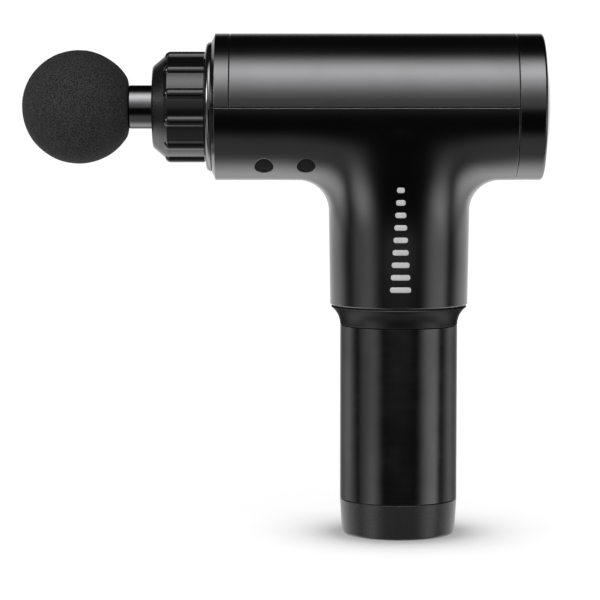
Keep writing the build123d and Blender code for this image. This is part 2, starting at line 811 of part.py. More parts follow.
def make_battery_neck():
    """Flared collar and threaded neck: three steep grooves that ride on the socket's lugs."""
    flare = ThreePointArc((HANDLE_R, TUBE_TOP_Z + 0.3), (26.1, 94.3), (28.9, FLARE_TOP_Z - 0.4))
    rest = Polyline(
        (28.9, FLARE_TOP_Z - 0.4),
        (28.6, FLARE_TOP_Z),
        (NECK_R, FLARE_TOP_Z),
        (NECK_R, GROOVE_START_Z),
        (NECK_BORE_R, GROOVE_START_Z),
        (NECK_BORE_R, 95.0),
        (21.4, 92.0),
        (21.4, CELL_TOP_Z + 0.9),
        (22.9, CELL_TOP_Z + 0.9),
        (22.9, TUBE_TOP_Z),
        (HANDLE_R - 0.3, TUBE_TOP_Z),
        (HANDLE_R, TUBE_TOP_Z + 0.3),
    )
    neck = revolve(Plane.XZ * make_face([flare, rest]), Axis.Z)
    # the grooves climb from their closed ends to the neck's top edge
    height = NECK_TOP_Z - GROOVE_START_Z
    first = (GROOVE_START_Z - LUG_Z) * TURN_PER_MM
    section = Circle(NECK_R) - Circle(NECK_BORE_R)
    for turn in LUG_TURNS:
        section -= groove_notch(turn + first)
    threaded = Solid.extrude_linear_with_rotation(
        section.faces()[0], (0, 0, 0), (0, 0, height), height * TURN_PER_MM
    )
    neck += Pos(0, 0, GROOVE_START_Z) * threaded
    return neck + upright(NECK_BORE_R + 0.5, NECK_TOP_Z - 1.8, NECK_TOP_Z)


def make_contact_rings():
    """Three flat rings, so the pins meet them at any angle."""
    rings = []
    for radius in (5.0, 9.0, 13.0):
        rings.append(sleeve_of(radius + 1.3, radius - 1.3, NECK_TOP_Z, NECK_TOP_Z + 0.3))
    return in_a_group(rings)


def make_battery_tube():
    return turned_on_handle(
        [
            (HANDLE_R - 0.3, CAP_TOP_Z),
            (HANDLE_R, CAP_TOP_Z + 0.3),
            (HANDLE_R, TUBE_TOP_Z - 0.3),
            (HANDLE_R - 0.3, TUBE_TOP_Z),
            (HANDLE_R - 1.8, TUBE_TOP_Z),
            (HANDLE_R - 1.8, CAP_TOP_Z),
        ]
    )


PORT_Y, SWITCH_Y = -12.0, 12.0  # both face down through the base
SWITCH_TRAVEL = 3.0
SKIRT_TOP_Z = CAP_TOP_Z + 5.0
CELL_Z = 20.8
CELL_TOP_Z = CELL_Z + CELL_LENGTH
CELL_PITCH = CELL_R + 0.1  # from the handle's axis to a cell's, along X and along Y
CELL_CENTRES = [(x * CELL_PITCH, y * CELL_PITCH) for x in (-1, 1) for y in (-1, 1)]
STRIP = 0.3  # thickness of the nickel strip
BMS_Z = (87.6, 88.8)


def pocket_in_base(y, length, width, depth):
    return Pos(0, y, 0) * extrude(SlotOverall(length, width), depth)


def make_battery_end_cap():
    """Cup that closes the handle and stands on the table; port and switch are in its floor."""
    cap = turned_on_handle(
        [
            (0, 0),
            (24.1, 0),
            (HANDLE_R, CAP_TOP_Z - 0.3),
            (HANDLE_R - 0.3, CAP_TOP_Z),
            (HANDLE_R - 2.1, CAP_TOP_Z),
            (HANDLE_R - 2.1, SKIRT_TOP_Z),
            (21.2, SKIRT_TOP_Z),
            (21.2, 2.4),
            (0, 2.4),
        ],
        [0, 1.5, 0, 0, 0, 0, 0, 0, 0],
    )
    for x in (-16.5, 16.5):
        cap += upright(3.2, 2.0, 16.2, x)
        cap -= upright(2.9, -1, 2.8, x)
        cap -= upright(1.35, 0, 17, x)
    cap += block((-6.5, 6.5), (PORT_Y - 3.8, PORT_Y + 3.8), (2, 6))
    cap -= pocket_in_base(PORT_Y, 13.0, 6.4, 0.8)
    cap -= pocket_in_base(PORT_Y, 9.3, 3.6, 7)
    cap -= pocket_in_base(SWITCH_Y, 12.6, 6.4, 1.0)
    cap -= block((-4.3, 4.3), (SWITCH_Y - 1.8, SWITCH_Y + 1.8), (0, 3))
    return cap


def make_end_cap_screws():
    screws = []
    for x in (-16.5, 16.5):
        screw = upright(2.7, 0.9, 2.8, x) + upright(1.25, 2.0, 17.6, x)
        screws.append(screw - Pos(x, 0, 0.9) * (Box(3.0, 0.7, 1.6) + Box(0.7, 3.0, 1.6)))
    return in_a_group(screws)


def make_base_board():
    """Charging board behind the port and the switch."""
    board = upright(20.6, 9.4, 10.6)
    for x in (-16.5, 16.5):
        board -= upright(3.4, 9, 11, x)
    board += block((-4, 4), (-3, 3), (10.6, 12.0))
    return board + block((5, 9), (-12, -8), (10.6, 13.0))


def make_charge_port():
    """USB-C socket: a thin steel shell round its tongue."""
    shell = Pos(0, PORT_Y, 0.9) * extrude(SlotOverall(8.94, 3.26), 8.5)
    shell -= Pos(0, PORT_Y, 0.8) * extrude(SlotOverall(8.34, 2.66), 6.4)
    return shell + block((-3.35, 3.35), (PORT_Y - 0.35, PORT_Y + 0.35), (1.8, 8))


def make_switch_body():
    """Slide switch soldered under the base board, open below for its knob."""
    body = block((-6.5, 6.5), (SWITCH_Y - 3.2, SWITCH_Y + 3.2), (2.6, 9.4))
    return body - block((-5.2, 5.2), (SWITCH_Y - 2.2, SWITCH_Y + 2.2), (2, 6.0))


def make_base_switch():
    """Main switch's knob, sunk below the base."""
    middle = -SWITCH_TRAVEL / 2
    knob = block((middle - 2.4, middle + 2.4), (SWITCH_Y - 1.5, SWITCH_Y + 1.5), (0.4, 3.2))
    for x in (middle - 1.2, middle, middle + 1.2):
        knob -= block((x - 0.25, x + 0.25), (SWITCH_Y - 2, SWITCH_Y + 2), (0, 0.8))
    return knob + block((middle - 3.2, middle + 3.2), (SWITCH_Y - 1.9, SWITCH_Y + 1.9), (3.0, 5.6))


def make_nickel_strips():
    """Strips that join the cells in series, and the two end tabs."""
    across = Rectangle(2 * CELL_PITCH + 7.0, 6.0)
    along = Rectangle(6.0, 2 * CELL_PITCH + 7.0)
    lower_z, upper_z = CELL_Z - STRIP, CELL_TOP_Z
    strips = [Pos(0, y, lower_z) * extrude(across, STRIP) for y in (-CELL_PITCH, CELL_PITCH)]
    strips.append(Pos(CELL_PITCH, 0, upper_z) * extrude(along, STRIP))
    for y in (-CELL_PITCH, CELL_PITCH):
        strips.append(Pos(-CELL_PITCH, y, upper_z) * extrude(Rectangle(6.0, 7.0), STRIP))
    return in_a_group(strips)


def make_battery_cells():
    cell = turned_on_handle(
        [
            (0, CELL_Z),
            (CELL_R, CELL_Z),
            (CELL_R, CELL_TOP_Z - 0.6),
            (3.2, CELL_TOP_Z - 0.6),
            (3.2, CELL_TOP_Z),
            (0, CELL_TOP_Z),
        ],
        [0, 0.6, 0.6, 0, 0, 0],
    )
    return in_a_group([Pos(x, y, 0) * cell for x, y in CELL_CENTRES])


def make_cell_holders():
    """Two moulded holders: the lower one is also the end cap's screw seat."""
    lower = upright(21.0, 16.2, SKIRT_TOP_Z + 0.3) + upright(23.0, SKIRT_TOP_Z + 0.3, 26.0)
    upper = upright(23.0, 79.0, 84.0)
    for x, y in CELL_CENTRES:
        lower -= upright(CELL_R + 0.05, CELL_Z, 27, x, y)
        upper -= upright(CELL_R + 0.05, 78, 85, x, y)
    for y in (-CELL_PITCH, CELL_PITCH):
        lower -= Pos(0, y, CELL_Z - STRIP) * extrude(Rectangle(2 * CELL_PITCH + 7.4, 6.4), STRIP)
    lower -= upright(8.0, 16, CELL_Z - 1.2)
    for x in (-16.5, 16.5):
        lower -= upright(1.3, 16, 18.0, x)
    upper -= upright(2.5, 78, 85)
    return in_a_group([lower, upper])


def make_bms_board():
    """Protection board above the cells."""
    low, high = BMS_Z
    board = upright(21.0, low, high)
    for x in (-9, -3, 3, 9):
        board += block((x - 2, x + 2), (-12, -7), (high, high + 1.4))
    return board + block((-6, 6), (6, 12), (high, high + 2.2))


# ---------------------------------------------------------------- write every node
PARTS = {
    "main_body": make_main_body,
    "front_arch": make_front_arch,
    "top_cover": make_top_cover,
    "cover_screws": make_cover_screws,
    "screw_plugs": make_screw_plugs,
    "rear_ring": make_rear_ring,
    "touch_lens": make_touch_lens,
    "display_module": make_display_module,
    "display_board": make_display_board,
    "display_cable": make_display_cable,
    "nose_plate": make_nose_plate,
    "nose_screws": make_nose_screws,
    "nose_bezel": make_nose_bezel,
    "nose_collar": make_nose_collar,
    "plunger_wiper": make_plunger_wiper,
    "guide_bush": make_guide_bush,
    "drive_frame": make_drive_frame,
    "frame_dampers": make_frame_dampers,
    "frame_screws": make_frame_screws,
    "motor_case": make_motor_case,
    "motor_front_bell": make_motor_front_bell,
    "motor_bearings": make_motor_bearings,
    "motor_screws": make_motor_screws,
    "stator_core": make_stator_core,
    "stator_coils": make_stator_coils,
    "motor_wires": make_motor_wires,
    "motor_shaft": make_motor_shaft,
    "rotor_core": make_rotor_core,
    "rotor_magnets": make_rotor_magnets,
    "crank_disc": make_crank_disc,
    "crank_pin": make_crank_pin,
    "big_end_bearing": make_big_end_bearing,
    "connecting_rod": make_connecting_rod,
    "small_end_bush": make_small_end_bush,
    "plunger": make_plunger,
    "wrist_pin": make_wrist_pin,
    "head_stem": make_head_stem,
    "stem_o_rings": make_stem_o_rings,
    "massage_ball": make_massage_ball,
    "control_board": make_control_board,
    "contact_board": make_contact_board,
    "pin_barrels": make_pin_barrels,
    "contact_pins": make_contact_pins,
    "battery_socket": make_battery_socket,
    "socket_screws": make_socket_screws,
    "battery_gasket": make_battery_gasket,
    "battery_neck": make_battery_neck,
    "contact_rings": make_contact_rings,
    "battery_tube": make_battery_tube,
    "battery_end_cap": make_battery_end_cap,
    "end_cap_screws": make_end_cap_screws,
    "base_board": make_base_board,
    "charge_port": make_charge_port,
    "switch_body": make_switch_body,
    "base_switch": make_base_switch,
    "nickel_strips": make_nickel_strips,
    "battery_cells": make_battery_cells,
    "cell_holders": make_cell_holders,
    "bms_board": make_bms_board,
}

os.makedirs("parts", exist_ok=True)
for name, make in PARTS.items():
    piece = make()
    piece.label = name
    export_step(piece, f"parts/{name}.step")
print(len(PARTS), "nodes written")
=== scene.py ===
import json
import math

import bmesh
import bpy
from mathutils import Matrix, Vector, noise
from mathutils.bvhtree import BVHTree


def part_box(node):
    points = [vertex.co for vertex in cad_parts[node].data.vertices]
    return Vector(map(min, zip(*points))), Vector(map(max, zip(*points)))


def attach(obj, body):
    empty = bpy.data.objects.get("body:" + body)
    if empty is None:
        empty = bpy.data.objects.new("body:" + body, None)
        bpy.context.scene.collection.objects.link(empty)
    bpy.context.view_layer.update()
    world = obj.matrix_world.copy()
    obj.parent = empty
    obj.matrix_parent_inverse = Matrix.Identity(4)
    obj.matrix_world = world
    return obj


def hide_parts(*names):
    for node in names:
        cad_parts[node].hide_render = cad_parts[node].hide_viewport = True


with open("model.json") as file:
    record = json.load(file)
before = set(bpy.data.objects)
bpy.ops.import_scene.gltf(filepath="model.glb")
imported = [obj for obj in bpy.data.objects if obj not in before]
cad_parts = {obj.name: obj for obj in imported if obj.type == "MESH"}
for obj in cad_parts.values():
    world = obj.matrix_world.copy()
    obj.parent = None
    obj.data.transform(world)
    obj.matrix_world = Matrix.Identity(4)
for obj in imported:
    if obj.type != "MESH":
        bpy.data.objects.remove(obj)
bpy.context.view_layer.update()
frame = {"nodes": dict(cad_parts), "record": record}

# The looks of a massage gun that stands on its battery handle. Metres, +Z up, the ball towards -X.
# The near side, towards -Y, carries the printed mark.

MM = 0.001
nodes = frame["nodes"]

BARREL_LOW, BARREL_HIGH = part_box("rear_ring")
BARREL_Z = (BARREL_LOW.z + BARREL_HIGH.z) / 2
BARREL_R = (BARREL_HIGH.z - BARREL_LOW.z) / 2
BALL_LOW, BALL_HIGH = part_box("massage_ball")
SLEEVE_R = 29.8 * MM  # at its waist


# ---------------------------------------------------------------- shader helpers
class Shader:
    """A node material with short calls for the nodes that these surfaces use."""

    def __init__(self, name):
        self.material = bpy.data.materials.new(name)
        self.material.use_nodes = True
        self.tree = self.material.node_tree
        self.tree.nodes.clear()
        self.output = self.tree.nodes.new("ShaderNodeOutputMaterial")
        self.surface = self.tree.nodes.new("ShaderNodeBsdfPrincipled")
        self.link(self.surface.outputs["BSDF"], self.output.inputs["Surface"])
        self.place = self.tree.nodes.new("ShaderNodeTexCoord").outputs["Object"]

    def link(self, source, target):
        self.tree.links.new(source, target)

    def node(self, kind, settings=None, inputs=None):
        made = self.tree.nodes.new(kind)
        for key, value in (settings or {}).items():
            setattr(made, key, value)
        for key, value in (inputs or {}).items():
            if isinstance(value, bpy.types.NodeSocket):
                self.link(value, made.inputs[key])
            else:
                made.inputs[key].default_value = value
        return made

    def stretched(self, scale, offset=(0, 0, 0)):
        """The object's own coordinates, scaled along each axis."""
        inputs = {"Vector": self.place, "Scale": scale, "Location": offset}
        return self.node("ShaderNodeMapping", inputs=inputs).outputs["Vector"]

    def grain(self, scale, detail=3.0, roughness=0.5, vector=None):
        """Fractal noise; the scale is in features to the metre."""
        inputs = {"Scale": scale, "Detail": detail, "Roughness": roughness, "Vector": vector or self.place}
        return self.node("ShaderNodeTexNoise", inputs=inputs).outputs["Fac"]

    def cells(self, scale, feature="F1", vector=None):
        inputs = {"Scale": scale, "Vector": vector or self.place}
        return self.node("ShaderNodeTexVoronoi", {"feature": feature}, inputs).outputs["Distance"]

    def spread(self, value, low, high, to_low, to_high):
        """A value carried smoothly from one range to another."""
        inputs = {"Value": value, "From Min": low, "From Max": high, "To Min": to_low, "To Max": to_high}
        return self.node("ShaderNodeMapRange", {"interpolation_type": "SMOOTHSTEP"}, inputs).outputs["Result"]

    def maths(self, operation, first, second=0.0):
        return self.node("ShaderNodeMath", {"operation": operation}, {0: first, 1: second}).outputs[0]

    def blend(self, factor, first, second):
        made = self.node("ShaderNodeMix", {"data_type": "RGBA"}, {"Factor": factor})
        for socket, value in ((made.inputs[6], first), (made.inputs[7], second)):
            if isinstance(value, bpy.types.NodeSocket):
                self.link(value, socket)
            else:
                socket.default_value = (*value, 1)
        return made.outputs[2]

    def edge_wear_and_highlight(self, width, strength=1.0):
        """A mask for edge wear and painted edge highlight: where the surface turns over a convex edge, broken
        up by a fine noise.
        """
        bevel = self.node("ShaderNodeBevel", {"samples": 4}, {"Radius": width}).outputs["Normal"]
        plain = self.node("ShaderNodeNewGeometry").outputs["Normal"]
        inputs = {0: bevel, 1: plain}
        agree = self.node("ShaderNodeVectorMath", {"operation": "DOT_PRODUCT"}, inputs).outputs["Value"]
        flat, sharp = 0.995, 0.90  # cosines of the angle between the rounded and the plain normal
        edge = self.spread(agree, flat, sharp, 0.0, strength)
        return self.maths("MULTIPLY", edge, self.spread(self.grain(3200.0), 0.3, 0.7, 0.75, 1.0))

    def bump(self, height, depth, strength=1.0, under=None):
        inputs = {"Height": height, "Distance": depth, "Strength": strength}
        if under is not None:
            inputs["Normal"] = under
        return self.node("ShaderNodeBump", inputs=inputs).outputs["Normal"]

    def finish(self, **sockets):
        """Sets the surface's sockets, by names with underscores for spaces."""
        for key, value in sockets.items():
            socket = self.surface.inputs[key.replace("_", " ")]
            if isinstance(value, bpy.types.NodeSocket):
                self.link(value, socket)
            elif isinstance(value, tuple) and len(value) == 3:
                socket.default_value = (*value, 1)
            else:
                socket.default_value = value
        return self.material


# ---------------------------------------------------------------- materials
def junction_normal(s, rounded):
    """The normal of a shell whose upright sleeve runs into its level barrel with one long soft curve.

    It mixes the two cylinders' normals by how far outside each the point is. It gives way to the shell's
    own normal on the inner faces, low on the sleeve, on the barrel's side and far along the barrel.
    """
    x, y, z = s.node("ShaderNodeSeparateXYZ", inputs={0: s.place}).outputs
    up = s.maths("SUBTRACT", z, BARREL_Z)
    about_barrel = s.node("ShaderNodeCombineXYZ", inputs={1: y, 2: up}).outputs[0]
    about_sleeve = s.node("ShaderNodeCombineXYZ", inputs={0: x, 1: y}).outputs[0]
    outside, normals = [], []
    for arm, radius in ((about_barrel, BARREL_R), (about_sleeve, SLEEVE_R)):
        reach = s.node("ShaderNodeVectorMath", {"operation": "LENGTH"}, {0: arm}).outputs["Value"]
        outside.append(s.maths("SUBTRACT", reach, radius))
        normals.append(s.node("ShaderNodeVectorMath", {"operation": "NORMALIZE"}, {0: arm}).outputs[0])
    sweep = 36 * MM  # how far the curve is felt along each cylinder
    lead = s.maths("SUBTRACT", outside[1], outside[0])
    share = s.spread(lead, -sweep, sweep, 0.0, 1.0)
    swept = s.node("ShaderNodeMix", {"data_type": "VECTOR"}, {"Factor": share})
    s.link(normals[1], swept.inputs[4])
    s.link(normals[0], swept.inputs[5])
    # the shell's own normal is in world space, so this one has to turn with the body
    settings = {"vector_type": "NORMAL", "convert_from": "OBJECT", "convert_to": "WORLD"}
    turned = s.node("ShaderNodeVectorTransform", settings, {0: swept.outputs[1]}).outputs[0]
    depth = s.maths("MINIMUM", outside[0], outside[1])
    off_inner_faces = s.spread(depth, -1.6 * MM, -1.1 * MM, 0.0, 1.0)
    above_sleeve_foot = s.spread(z, 103 * MM, 118 * MM, 0.0, 1.0)
    below_seam = s.spread(up, -16 * MM, -1 * MM, 1.0, 0.0)
    near_sleeve = s.spread(s.maths("ABSOLUTE", x), 38 * MM, 60 * MM, 1.0, 0.0)
    upright = s.maths("MULTIPLY", off_inner_faces, above_sleeve_foot)
    where = s.maths("MULTIPLY", upright, s.maths("MULTIPLY", below_seam, near_sleeve))
    mixed = s.node("ShaderNodeMix", {"data_type": "VECTOR"}, {"Factor": where})
    s.link(rounded, mixed.inputs[4])
    s.link(turned, mixed.inputs[5])
    return s.node("ShaderNodeVectorMath", {"operation": "NORMALIZE"}, {0: mixed.outputs[1]}).outputs[0]


def satin_paint(name, tint, rough, blended=False, grazing=1.0):
    """Fine metallic paint over moulded plastic: edges rounded by the paint, rubbed brighter by hands and
    lightened further as a painted highlight along edges and seams.

    The grazing tint darkens what the paint mirrors at a shallow angle.
    """
    s = Shader(name)
    rounded = s.node("ShaderNodeBevel", {"samples": 4}, {"Radius": 0.3 * MM}).outputs["Normal"]
    normal = junction_normal(s, rounded) if blended else rounded
    cloud = s.grain(38.0, 4.0, 0.6)
    smear = s.grain(9.0, 2.0, 0.5, s.stretched((1.0, 1.0, 0.35)))
    flake = s.cells(5200.0)
    wear_and_edge_highlight = s.edge_wear_and_highlight(0.4 * MM, 1.0)
    base = s.blend(s.spread(cloud, 0.3, 0.7, 0.0, 1.0), tint, tuple(v * 1.08 for v in tint))
    # edges and seams lightened to pale grey: partly rubbed wear, partly a painted highlight line
    base = s.blend(s.maths("MULTIPLY", wear_and_edge_highlight, 0.3), base, (0.34, 0.34, 0.35))
    smeared = s.spread(smear, 0.3, 0.7, rough - 0.012, rough + 0.015)
    blur = s.maths("ADD", smeared, s.maths("MULTIPLY", wear_and_edge_highlight, 0.1))
    blur = s.maths("ADD", blur, s.maths("MULTIPLY", s.maths("SUBTRACT", flake, 0.4), 0.04))
    skin = s.bump(s.grain(2600.0, 3.0, 0.6), 4e-6, 1.0, normal)
    return s.finish(Base_Color=base, Metallic=1.0, Roughness=blur, Normal=skin, Specular_Tint=(grazing,) * 3)


def gloss_moulding(name, tint, rough, shine=0.5, ior=1.5):
    """Polished black moulding with faint flow marks and hairline scratches."""
    s = Shader(name)
    scratch = s.grain(240.0, 2.0, 0.5, s.stretched((0.06, 1.0, 1.0)))
    dust = s.grain(130.0, 5.0, 0.7)
    wear_and_edge_highlight = s.edge_wear_and_highlight(0.3 * MM, 0.6)
    # edges lightened: partly wear, partly a painted edge highlight
    base = s.blend(s.maths("MULTIPLY", wear_and_edge_highlight, 0.35), tint, (0.10, 0.10, 0.105))
    scratched = s.spread(scratch, 0.35, 0.75, rough, rough + 0.07)
    blur = s.maths("ADD", scratched, s.spread(dust, 0.5, 0.8, 0.0, 0.06))
    skin = s.bump(s.grain(26.0, 2.0, 0.5), 30e-6, 0.25)
    skin = s.bump(scratch, 1.5e-6, 0.6, skin)
    return s.finish(Base_Color=base, Roughness=blur, Normal=skin, Specular_IOR_Level=shine, IOR=ior)


def collar_moulding():
    """The nose collar: polished on its ribs and lands, spark-eroded grain on its coned front."""
    s = Shader("collar_moulding")
    low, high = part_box("nose_collar")
    cone_end = low.x + 6.3 * MM
    along = s.node("ShaderNodeSeparateXYZ", inputs={0: s.place}).outputs["X"]
    coned = s.spread(along, cone_end, cone_end - 0.7 * MM, 0.0, 1.0)
    scratch = s.grain(300.0, 2.0, 0.5, s.stretched((0.08, 1.0, 1.0)))
    wear_and_edge_highlight = s.edge_wear_and_highlight(0.3 * MM, 0.8)
    pit = s.grain(2300.0, 2.0, 0.6)
    polished = s.spread(scratch, 0.35, 0.75, 0.16, 0.24)
    rough = s.spread(pit, 0.3, 0.7, 0.24, 0.32)
    blur = s.maths("ADD", s.maths("MULTIPLY", coned, s.maths("SUBTRACT", rough, polished)), polished)
    # edges lightened: partly wear, partly a painted edge highlight
    base = s.blend(s.maths("MULTIPLY", wear_and_edge_highlight, 0.4), (0.0035, 0.0035, 0.0037), (0.10, 0.10, 0.105))
    base = s.blend(coned, base, (0.005, 0.005, 0.0052))
    skin = s.bump(s.maths("MULTIPLY", pit, coned), 12e-6, 0.9)
    skin = s.bump(scratch, 1.5e-6, 0.6, skin)
    return s.finish(Base_Color=base, Roughness=blur, Normal=skin, Specular_IOR_Level=0.5)


def anodised(name, tint, rough, turned_along):
    """Anodised aluminium with the fine rings that turning leaves under the oxide."""
    s = Shader(name)
    scale = {"X": (1.0, 0.03, 0.03), "Z": (0.03, 0.03, 1.0)}[turned_along]
    rings = s.grain(2200.0, 2.0, 0.6, s.stretched(scale))
    cloud = s.grain(60.0, 4.0, 0.6)
    wear_and_edge_highlight = s.edge_wear_and_highlight(0.3 * MM, 0.8)
    base = s.blend(s.spread(cloud, 0.3, 0.7, 0.0, 1.0), tint, tuple(v * 1.2 for v in tint))
    # edges lightened: partly wear, partly a painted edge highlight
    base = s.blend(s.maths("MULTIPLY", wear_and_edge_highlight, 0.6), base, (0.42, 0.42, 0.44))
    ringed = s.spread(rings, 0.3, 0.7, rough - 0.015, rough + 0.02)
    blur = s.maths("ADD", ringed, s.spread(cloud, 0.4, 0.8, 0.0, 0.04))
    skin = s.bump(rings, 0.8e-6, 0.7)
    return s.finish(
        Base_Color=base,
        Metallic=1.0,
        Roughness=blur,
        Normal=skin,
        Specular_Tint=(0.4, 0.4, 0.4),
    )


def fine_plastic(name, tint, rough, grain_scale=1500.0, depth=12e-6):
    """Moulded plastic with an eroded grain."""
    s = Shader(name)
    pit = s.grain(grain_scale, 3.0, 0.6)
    cloud = s.grain(45.0, 4.0, 0.6)
    wear_and_edge_highlight = s.edge_wear_and_highlight(0.3 * MM, 0.8)
    base = s.blend(s.spread(cloud, 0.3, 0.7, 0.0, 1.0), tint, tuple(v * 1.15 for v in tint))
    # edges lightened: partly wear, partly a painted edge highlight
    base = s.blend(s.maths("MULTIPLY", wear_and_edge_highlight, 0.5), base, tuple(v * 1.6 + 0.02 for v in tint))
    blur = s.spread(pit, 0.3, 0.7, rough - 0.05, rough + 0.06)
    return s.finish(Base_Color=base, Roughness=blur, Normal=s.bump(pit, depth, 0.8))


def black_rubber():
    """Rubber with a pebbled grain and a dusty bloom."""
    s = Shader("black_rubber")
    pebble = s.cells(1500.0)
    bloom = s.grain(220.0, 4.0, 0.65)
    base = s.blend(s.spread(bloom, 0.45, 0.75, 0.0, 0.6), (0.0025, 0.0025, 0.0025), (0.007, 0.007, 0.007))
    blur = s.spread(pebble, 0.1, 0.6, 0.7, 0.85)
    return s.finish(
        Base_Color=base,
        Roughness=blur,
        Normal=s.bump(pebble, 45e-6, 0.9),
        Specular_IOR_Level=0.2,
    )


def ball_foam():
    """Skinned EVA foam: open pinholes with painted shade in them, a mottled charcoal skin and soft scuffs."""
    s = Shader("ball_foam")
    pinholes_with_painted_shade = s.spread(s.cells(1150.0), 0.12, 0.42, 0.0, 1.0)
    fine = s.grain(2600.0, 3.0, 0.7)
    mottle = s.grain(2300.0, 2.0, 0.75)
    scuff = s.grain(150.0, 6.0, 0.7)
    base = s.blend(s.spread(mottle, 0.40, 0.60, 0.0, 1.0), (0.006, 0.006, 0.0063), (0.042, 0.042, 0.043))
    base = s.blend(s.spread(scuff, 0.5, 0.8, 0.0, 0.25), base, (0.040, 0.040, 0.041))
    # painted shade: the pinholes' hollows darkened to near black
    base = s.blend(s.maths("SUBTRACT", 1.0, pinholes_with_painted_shade), base, (0.007, 0.007, 0.007))
    skin = s.bump(pinholes_with_painted_shade, 90e-6, 0.8)
    skin = s.bump(fine, 110e-6, 0.9, skin)
    return s.finish(
        Base_Color=base,
        Roughness=s.spread(mottle, 0.3, 0.7, 0.78, 0.92),
        Normal=skin,
        Specular_IOR_Level=0.12,
    )


def tinted_lens():
    """Hard-coated smoked acrylic, nearly opaque while the display is off."""
    s = Shader("tinted_lens")
    dust = s.grain(90.0, 5.0, 0.7)
    scratch = s.grain(180.0, 3.0, 0.6, s.stretched((1.0, 0.12, 1.0)))
    blur = s.maths("ADD", s.spread(scratch, 0.5, 0.8, 0.035, 0.10), s.spread(dust, 0.55, 0.8, 0.0, 0.05))
    skin = s.bump(scratch, 0.8e-6, 0.5)
    return s.finish(
        Base_Color=s.blend(s.spread(dust, 0.4, 0.8, 0.0, 1.0), (0.004, 0.004, 0.005), (0.008, 0.008, 0.009)),
        Roughness=blur,
        Normal=skin,
        Coat_Weight=0.6,
        Coat_Roughness=0.04,
    )


def bare_metal(name, tint, rough, scale=900.0, worn_and_highlit_tint=(0.9, 0.9, 0.9)):
    """Machined or plated metal with tool marks."""
    s = Shader(name)
    marks = s.grain(scale, 3.0, 0.6, s.stretched((1.0, 1.0, 0.08)))
    cloud = s.grain(80.0, 4.0, 0.6)
    edge = s.edge_wear_and_highlight(0.25 * MM, 0.8)
    base = s.blend(s.spread(cloud, 0.3, 0.7, 0.0, 1.0), tint, tuple(v * 0.82 for v in tint))
    # edges lightened towards the given tint: partly wear, partly a painted edge highlight
    base = s.blend(s.maths("MULTIPLY", edge, 0.5), base, worn_and_highlit_tint)
    blur = s.spread(marks, 0.3, 0.7, rough - 0.06, rough + 0.08)
    return s.finish(Base_Color=base, Metallic=1.0, Roughness=blur, Normal=s.bump(marks, 4e-6, 0.7))


def circuit_board():
    """Solder mask over copper tracks: raised tracks show through the green."""
    s = Shader("circuit_board")
    tracks = s.spread(s.cells(260.0, "DISTANCE_TO_EDGE"), 0.02, 0.05, 1.0, 0.0)
    base = s.blend(tracks, (0.008, 0.075, 0.03), (0.02, 0.13, 0.055))
    speck = s.grain(1800.0, 2.0, 0.5)
    return s.finish(
        Base_Color=base,
        Roughness=s.spread(speck, 0.3, 0.7, 0.24, 0.36),
        Normal=s.bump(tracks, 30e-6, 0.7),
    )


def shrink_wrap():
    """The cells' printed PVC sleeve, tight and slightly wrinkled at the ends."""
    s = Shader("shrink_wrap")
    wrinkle = s.grain(150.0, 3.0, 0.6, s.stretched((1.0, 1.0, 0.25)))
    base = s.blend(s.spread(wrinkle, 0.3, 0.7, 0.0, 1.0), (0.03, 0.12, 0.30), (0.045, 0.16, 0.37))
    return s.finish(
        Base_Color=base,
        Roughness=s.spread(wrinkle, 0.3, 0.7, 0.22, 0.34),
        Normal=s.bump(wrinkle, 40e-6, 0.5),
    )


def mark_ink():
    """Pale pad-printed ink with slightly uneven cover."""
    s = Shader("mark_ink")
    cover = s.grain(1800.0, 4.0, 0.7)
    base = s.blend(s.spread(cover, 0.3, 0.75, 0.0, 1.0), (0.36, 0.355, 0.35), (0.46, 0.455, 0.45))
    return s.finish(
        Base_Color=base,
        Roughness=s.spread(cover, 0.3, 0.7, 0.45, 0.6),
        Normal=s.bump(cover, 6e-6, 0.6),
    )


casing = satin_paint("casing_paint", (0.088, 0.088, 0.090), 0.22)
shell = satin_paint("shell_paint", (0.088, 0.088, 0.090), 0.22, blended=True)
ring_finish = satin_paint("ring_paint", (0.094, 0.094, 0.096), 0.18)
trim = gloss_moulding("gloss_trim", (0.004, 0.004, 0.0042), 0.10, 1.0, 1.75)
neck_finish = satin_paint("neck_paint", (0.046, 0.046, 0.047), 0.40, grazing=0.3)
collar = collar_moulding()
tube_skin = anodised("tube_anodised", (0.086, 0.086, 0.088), 0.19, "Z")
cap_plastic = fine_plastic("cap_plastic", (0.012, 0.012, 0.0125), 0.30, 2000.0, 2e-6)
plunger_metal = anodised("plunger_anodised", (0.13, 0.13, 0.133), 0.17, "X")
inner_plastic = fine_plastic("inner_plastic", (0.03, 0.03, 0.031), 0.5)
slide_plastic = fine_plastic("slide_plastic", (0.72, 0.70, 0.64), 0.4)
holder_plastic = fine_plastic("holder_plastic", (0.55, 0.55, 0.52), 0.45)
wire_jacket = fine_plastic("wire_jacket", (0.02, 0.02, 0.02), 0.45, 800.0, 8e-6)
rubber = black_rubber()
foam = ball_foam()
lens = tinted_lens()
steel = bare_metal("machined_steel", (0.56, 0.56, 0.58), 0.28)
lamination = bare_metal("lamination_steel", (0.30, 0.30, 0.31), 0.42, 4000.0, (0.5, 0.5, 0.5))
magnet = bare_metal("magnet_plate", (0.42, 0.42, 0.44), 0.2)
cast_alloy = bare_metal("cast_alloy", (0.52, 0.53, 0.55), 0.42, 500.0)
copper = bare_metal("winding_copper", (0.62, 0.24, 0.10), 0.3, 2600.0, (0.85, 0.5, 0.3))
contact_gold = bare_metal("contact_gold", (0.83, 0.58, 0.22), 0.18, 700.0, (0.95, 0.8, 0.5))
bronze = bare_metal("bronze", (0.50, 0.33, 0.15), 0.34)
nickel = bare_metal("nickel_strip", (0.62, 0.60, 0.55), 0.25, 600.0)
board = circuit_board()
wrap = shrink_wrap()
ink = mark_ink()

